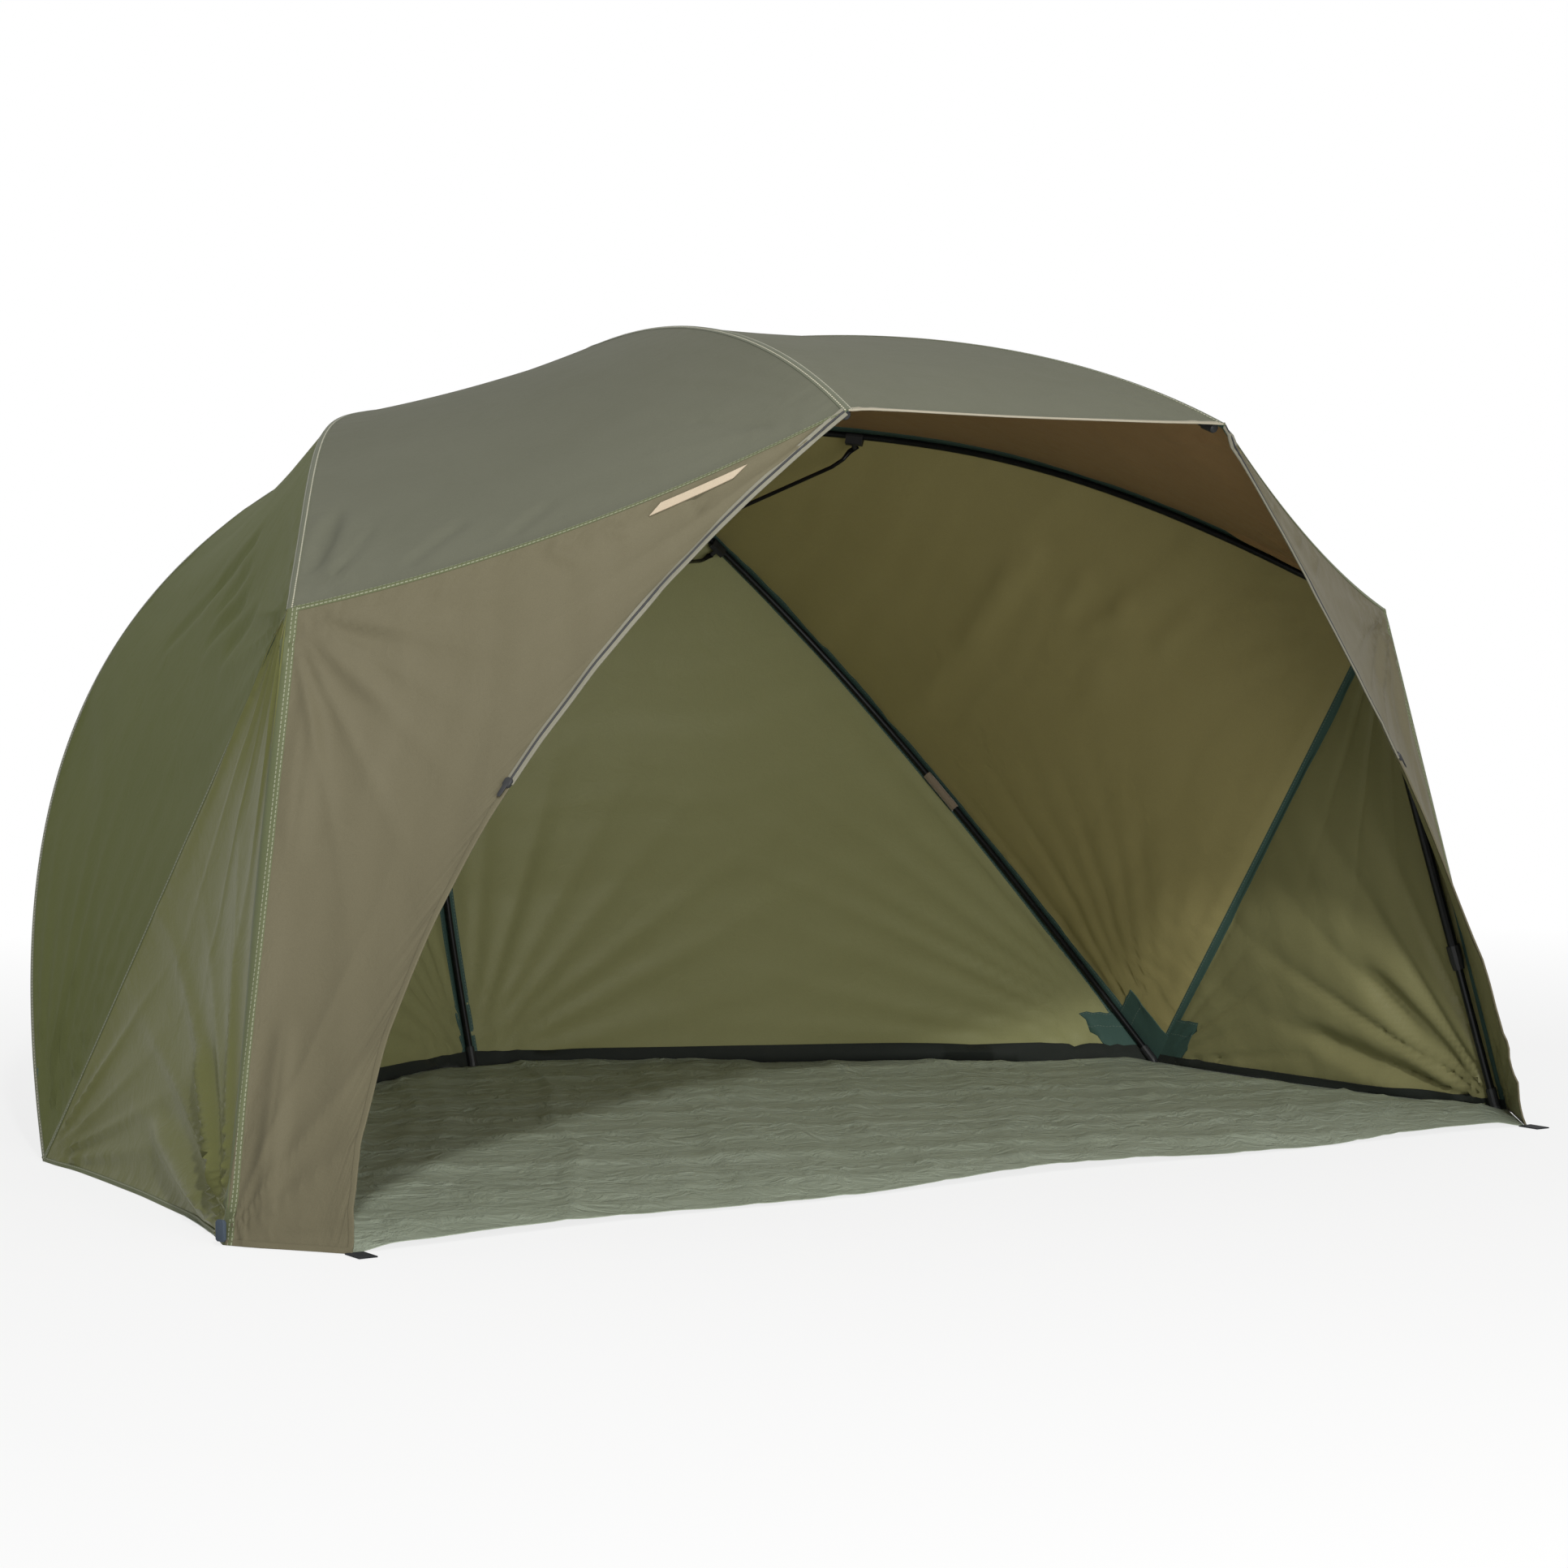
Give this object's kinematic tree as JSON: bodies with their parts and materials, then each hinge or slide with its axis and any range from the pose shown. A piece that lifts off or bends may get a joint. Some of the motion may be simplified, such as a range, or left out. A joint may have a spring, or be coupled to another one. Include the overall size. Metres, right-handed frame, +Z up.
{
  "type": "fishing umbrella",
  "caption": "Tilted fishing umbrella shelter with seven folding ribs, a sliding runner, fabric covers, side legs, front wings and a groundsheet.",
  "frame": {"origin": "on the ground, midway between the feet of the two front legs, on the groundsheet's underside", "axes": "+X to the right as seen from the front, +Y from the open front to the back, +Z up"},
  "size_m": [2.6122, 2.072, 1.4322],
  "materials": {
    "roof_fabric": "matt coated nylon",
    "wall_fabric": "slightly glossy coated nylon",
    "wing_fabric": "matt coated nylon",
    "floor_fabric": "crinkled coated cloth",
    "tape": "woven tape",
    "webbing": "woven webbing",
    "black_tube": "black coated",
    "black_plastic": "moulded",
    "steel": "bare wire"
  },
  "bodies": {
    "crown": {"crown_hub": "black_plastic", "hub_ring": "steel", "crown_cap": "black_plastic", "groundsheet": "floor_fabric", "peg_tab_left": "webbing", "peg_tab_right": "webbing"},
    "rib_front_right": {"rib_front_right": "black_tube", "saddle_front_right": "black_plastic", "roof_front_cover": "roof_fabric", "tip_cap_front_right": "black_plastic"},
    "rib_side_right": {"rib_side_right": "black_tube", "saddle_side_right": "black_plastic", "roof_side_cover_right": "roof_fabric", "elbow_right": "black_plastic", "elbow_pin_right": "steel"},
    "rib_back_corner_right": {"rib_back_corner_right": "black_tube", "saddle_back_corner_right": "black_plastic", "side_cover_right": "wall_fabric", "back_cover_right": "wall_fabric", "foot_back_corner_right": "black_plastic", "rib_tab_back_corner_right": "tape"},
    "rib_back_middle": {"rib_back_middle": "black_tube", "saddle_back_middle": "black_plastic", "foot_back_middle": "black_plastic"},
    "rib_back_corner_left": {"rib_back_corner_left": "black_tube", "saddle_back_corner_left": "black_plastic", "side_cover_left": "wall_fabric", "back_cover_left": "wall_fabric", "foot_back_corner_left": "black_plastic", "rib_tab_back_corner_left": "tape"},
    "rib_side_left": {"rib_side_left": "black_tube", "saddle_side_left": "black_plastic", "roof_side_cover_left": "roof_fabric", "elbow_left": "black_plastic", "elbow_pin_left": "steel"},
    "rib_front_left": {"rib_front_left": "black_tube", "saddle_front_left": "black_plastic", "tip_cap_front_left": "black_plastic"},
    "runner": {"runner": "black_plastic", "runner_ring": "steel"},
    "stretcher_front_right": {"stretcher_front_right": "black_tube"},
    "stretcher_side_right": {"stretcher_side_right": "black_tube"},
    "stretcher_back_corner_right": {"stretcher_back_corner_right": "black_tube"},
    "stretcher_back_middle": {"stretcher_back_middle": "black_tube"},
    "stretcher_back_corner_left": {"stretcher_back_corner_left": "black_tube"},
    "stretcher_side_left": {"stretcher_side_left": "black_tube"},
    "stretcher_front_left": {"stretcher_front_left": "black_tube"},
    "leg_left": {"leg_outer_left": "black_tube", "leg_clamp_left": "black_plastic", "front_wing_left": "wing_fabric", "side_infill_left": "wall_fabric", "storage_strap": "tape"},
    "leg_inner_left": {"leg_inner_left": "black_tube", "leg_foot_left": "black_plastic"},
    "leg_right": {"leg_outer_right": "black_tube", "leg_clamp_right": "black_plastic", "front_wing_right": "wing_fabric", "side_infill_right": "wall_fabric"},
    "leg_inner_right": {"leg_inner_right": "black_tube", "leg_foot_right": "black_plastic"}
  },
  "joints": [
    {"name": "umbrella_fold", "type": "hinge", "parent": "crown", "child": "rib_side_right", "pos_m": [0.0232, 1.34992, 1.34754], "axis": [0.4518, 0.6308, -0.6308], "range_deg": [0, 44.2], "deforming": ["roof_front_cover", "groundsheet", "storage_strap", "roof_side_cover_left", "side_cover_left", "back_cover_left", "front_wing_left", "side_infill_left", "roof_side_cover_right", "side_cover_right", "back_cover_right", "front_wing_right", "side_infill_right"]},
    {"name": "rib_hinge_front_right", "type": "hinge", "parent": "crown", "child": "rib_front_right", "pos_m": [0.00856, 1.34087, 1.35659], "axis": [0.9442, 0.2329, -0.2329], "range_deg": [-0.01, 39.56]},
    {"name": "rib_hinge_back_corner_right", "type": "hinge", "parent": "crown", "child": "rib_back_corner_right", "pos_m": [0.02305, 1.36673, 1.33073], "axis": [-0.4624, 0.627, -0.627], "range_deg": [-0.01, 44]},
    {"name": "rib_hinge_back_middle", "type": "hinge", "parent": "crown", "child": "rib_back_middle", "pos_m": [0, 1.37661, 1.32085], "axis": [-1, 0, 0], "range_deg": [-0.01, 53.24]},
    {"name": "rib_hinge_back_corner_left", "type": "hinge", "parent": "crown", "child": "rib_back_corner_left", "pos_m": [-0.02305, 1.36673, 1.33073], "axis": [-0.4624, -0.627, 0.627], "range_deg": [-0.01, 44]},
    {"name": "rib_hinge_side_left", "type": "hinge", "parent": "crown", "child": "rib_side_left", "pos_m": [-0.0232, 1.34992, 1.34754], "axis": [0.4518, -0.6308, 0.6308], "range_deg": [-0.01, 44.21]},
    {"name": "rib_hinge_front_left", "type": "hinge", "parent": "crown", "child": "rib_front_left", "pos_m": [-0.00856, 1.34087, 1.35659], "axis": [0.9442, -0.2329, 0.2329], "range_deg": [-0.01, 39.56]},
    {"name": "runner_slide", "type": "slide", "parent": "crown", "child": "runner", "axis": [0, -0.7071, -0.7071], "range_m": [-0.0005, 0.6505]},
    {"name": "stretcher_hinge_front_right", "type": "hinge", "parent": "runner", "child": "stretcher_front_right", "pos_m": [0.00856, 1.02409, 1.03981], "axis": [0.9442, 0.2329, -0.2329], "range_deg": [-70.36, 0.01]},
    {"name": "stretcher_hinge_side_right", "type": "hinge", "parent": "runner", "child": "stretcher_side_right", "pos_m": [0.0232, 1.03314, 1.03075], "axis": [0.4518, 0.6308, -0.6308], "range_deg": [-52.93, 0.01]},
    {"name": "stretcher_hinge_back_corner_right", "type": "hinge", "parent": "runner", "child": "stretcher_back_corner_right", "pos_m": [0.02305, 1.04995, 1.01395], "axis": [-0.4624, 0.627, -0.627], "range_deg": [-22.54, 0.01]},
    {"name": "stretcher_hinge_back_middle", "type": "hinge", "parent": "runner", "child": "stretcher_back_middle", "pos_m": [0, 1.05983, 1.00406], "axis": [-1, 0, 0], "range_deg": [-26.66, 0.01]},
    {"name": "stretcher_hinge_back_corner_left", "type": "hinge", "parent": "runner", "child": "stretcher_back_corner_left", "pos_m": [-0.02305, 1.04995, 1.01395], "axis": [-0.4624, -0.627, 0.627], "range_deg": [-22.54, 0.01]},
    {"name": "stretcher_hinge_side_left", "type": "hinge", "parent": "runner", "child": "stretcher_side_left", "pos_m": [-0.0232, 1.03314, 1.03075], "axis": [0.4518, -0.6308, 0.6308], "range_deg": [-52.93, 0.01]},
    {"name": "stretcher_hinge_front_left", "type": "hinge", "parent": "runner", "child": "stretcher_front_left", "pos_m": [-0.00856, 1.02409, 1.03981], "axis": [0.9442, -0.2329, 0.2329], "range_deg": [-70.36, 0.01]},
    {"name": "leg_fold_left", "type": "hinge", "parent": "rib_side_left", "child": "leg_left", "pos_m": [-1.10051, 0.17307, 0.91547], "axis": [0.8794, -0.4671, -0.0916], "range_deg": [-0.01, 116.7]},
    {"name": "leg_fold_right", "type": "hinge", "parent": "rib_side_right", "child": "leg_right", "pos_m": [1.10051, 0.17307, 0.91547], "axis": [0.8794, 0.4671, 0.0916], "range_deg": [-0.01, 116.7]},
    {"name": "leg_slide_left", "type": "slide", "parent": "leg_left", "child": "leg_inner_left", "axis": [0.1933, 0.1746, 0.9655], "range_m": [0, 0.2]},
    {"name": "leg_slide_right", "type": "slide", "parent": "leg_right", "child": "leg_inner_right", "axis": [-0.1933, 0.1746, 0.9655], "range_m": [0, 0.2]}
  ],
  "couplings": [
    {"joint": "rib_hinge_front_right", "follows": "umbrella_fold", "ratio": 0.89477},
    {"joint": "rib_hinge_back_corner_right", "follows": "umbrella_fold", "ratio": 0.99521},
    {"joint": "rib_hinge_back_middle", "follows": "umbrella_fold", "ratio": 1.2042},
    {"joint": "rib_hinge_back_corner_left", "follows": "umbrella_fold", "ratio": 0.99521},
    {"joint": "rib_hinge_side_left", "follows": "umbrella_fold", "ratio": 1},
    {"joint": "rib_hinge_front_left", "follows": "umbrella_fold", "ratio": 0.89477},
    {"joint": "runner_slide", "follows": "umbrella_fold", "m_per_rad": 0.84255},
    {"joint": "stretcher_hinge_front_right", "follows": "umbrella_fold", "ratio": -1.5916},
    {"joint": "stretcher_hinge_side_right", "follows": "umbrella_fold", "ratio": -1.1972},
    {"joint": "stretcher_hinge_back_corner_right", "follows": "umbrella_fold", "ratio": -0.50971},
    {"joint": "stretcher_hinge_back_middle", "follows": "umbrella_fold", "ratio": -0.60287},
    {"joint": "stretcher_hinge_back_corner_left", "follows": "umbrella_fold", "ratio": -0.50971},
    {"joint": "stretcher_hinge_side_left", "follows": "umbrella_fold", "ratio": -1.1972},
    {"joint": "stretcher_hinge_front_left", "follows": "umbrella_fold", "ratio": -1.5916},
    {"joint": "leg_fold_left", "follows": "umbrella_fold", "ratio": 2.6398},
    {"joint": "leg_fold_right", "follows": "umbrella_fold", "ratio": 2.6398}
  ]
}
